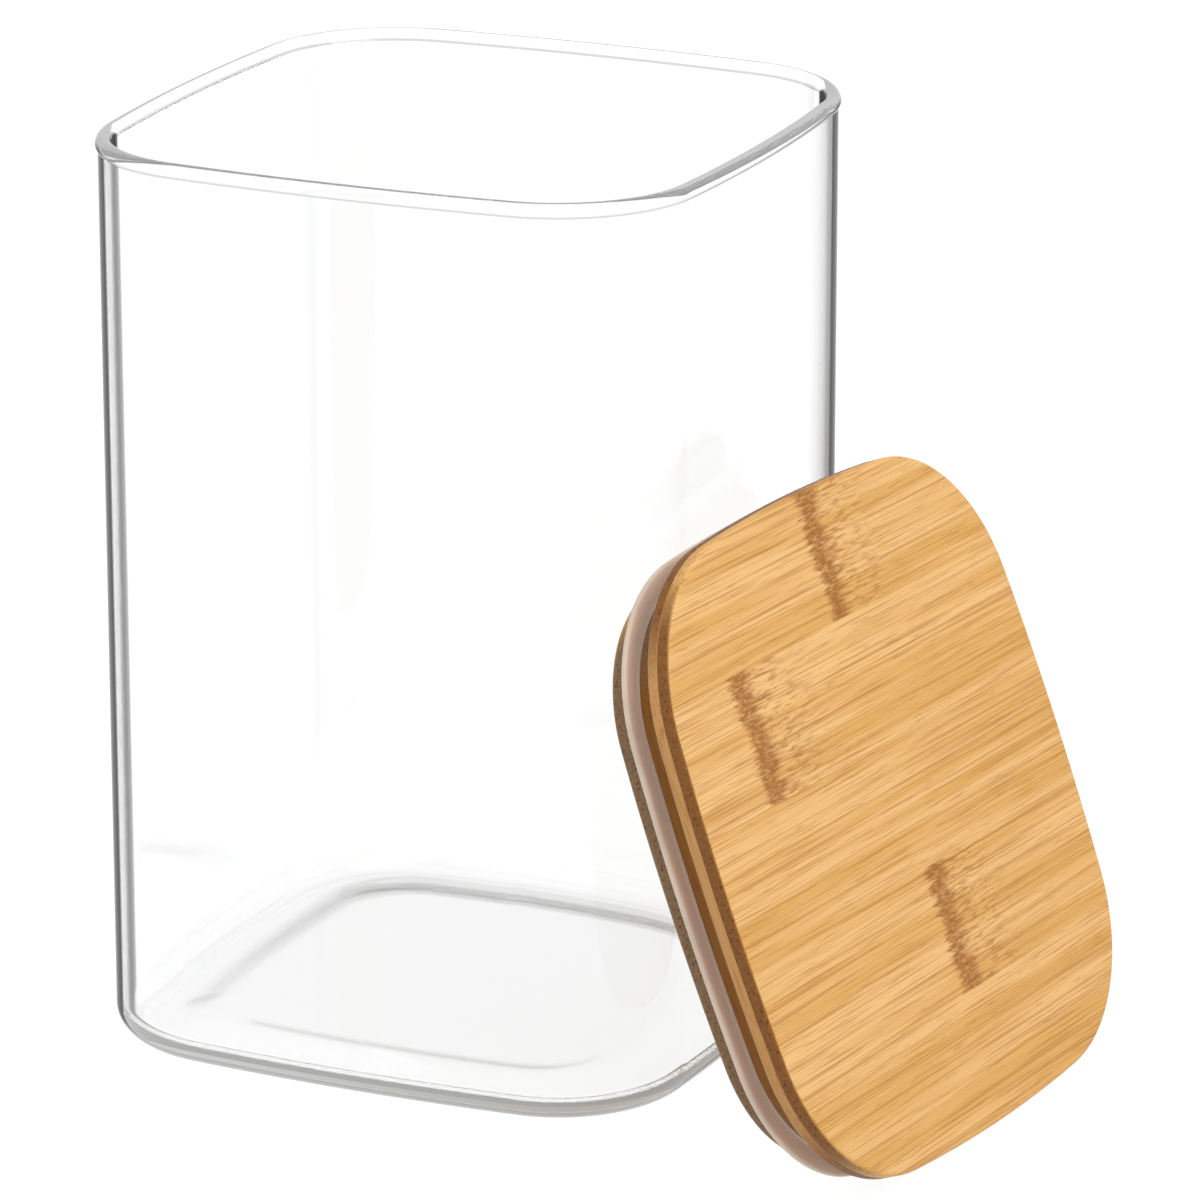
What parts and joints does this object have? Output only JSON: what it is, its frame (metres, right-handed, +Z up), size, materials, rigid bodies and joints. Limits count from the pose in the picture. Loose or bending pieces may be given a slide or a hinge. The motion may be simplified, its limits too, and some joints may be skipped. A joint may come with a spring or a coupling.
{
  "type": "food canister",
  "caption": "Square clear glass food canister with round corners, shown open, its bamboo plug lid with a soft silicone seal leaning on one side.",
  "frame": {"origin": "centre of the jar's underside, on the plane of its foot ring", "axes": "+Z up out of the jar's mouth; X and Y square to the jar's flat sides; the lid leans on the +X side"},
  "size_m": [0.1528, 0.1224, 0.1465],
  "materials": {
    "clear_glass": "clear, fire-polished rim",
    "bamboo_face": "sanded and lightly oiled, long grain",
    "bamboo_cross": "sanded edge",
    "bamboo_plug": "sanded edge, end grain",
    "silicone": "translucent, matt"
  },
  "bodies": {
    "jar": {"glass_jar": "clear_glass"},
    "lid": {"lid_face_strip_1": "bamboo_face", "lid_face_strip_2": "bamboo_face", "lid_face_strip_3": "bamboo_face", "lid_face_strip_4": "bamboo_face", "lid_face_strip_5": "bamboo_face", "lid_cross_ply": "bamboo_cross", "lid_plug_upper_ply": "bamboo_plug", "lid_plug_lower_ply": "bamboo_plug", "silicone_seal": "silicone"}
  },
  "joints": [
    {"name": "lid_lift", "type": "slide", "parent": "jar", "child": "lid", "axis": [0.342, 0, 0.9397], "range_m": [0, 0.16]}
  ]
}
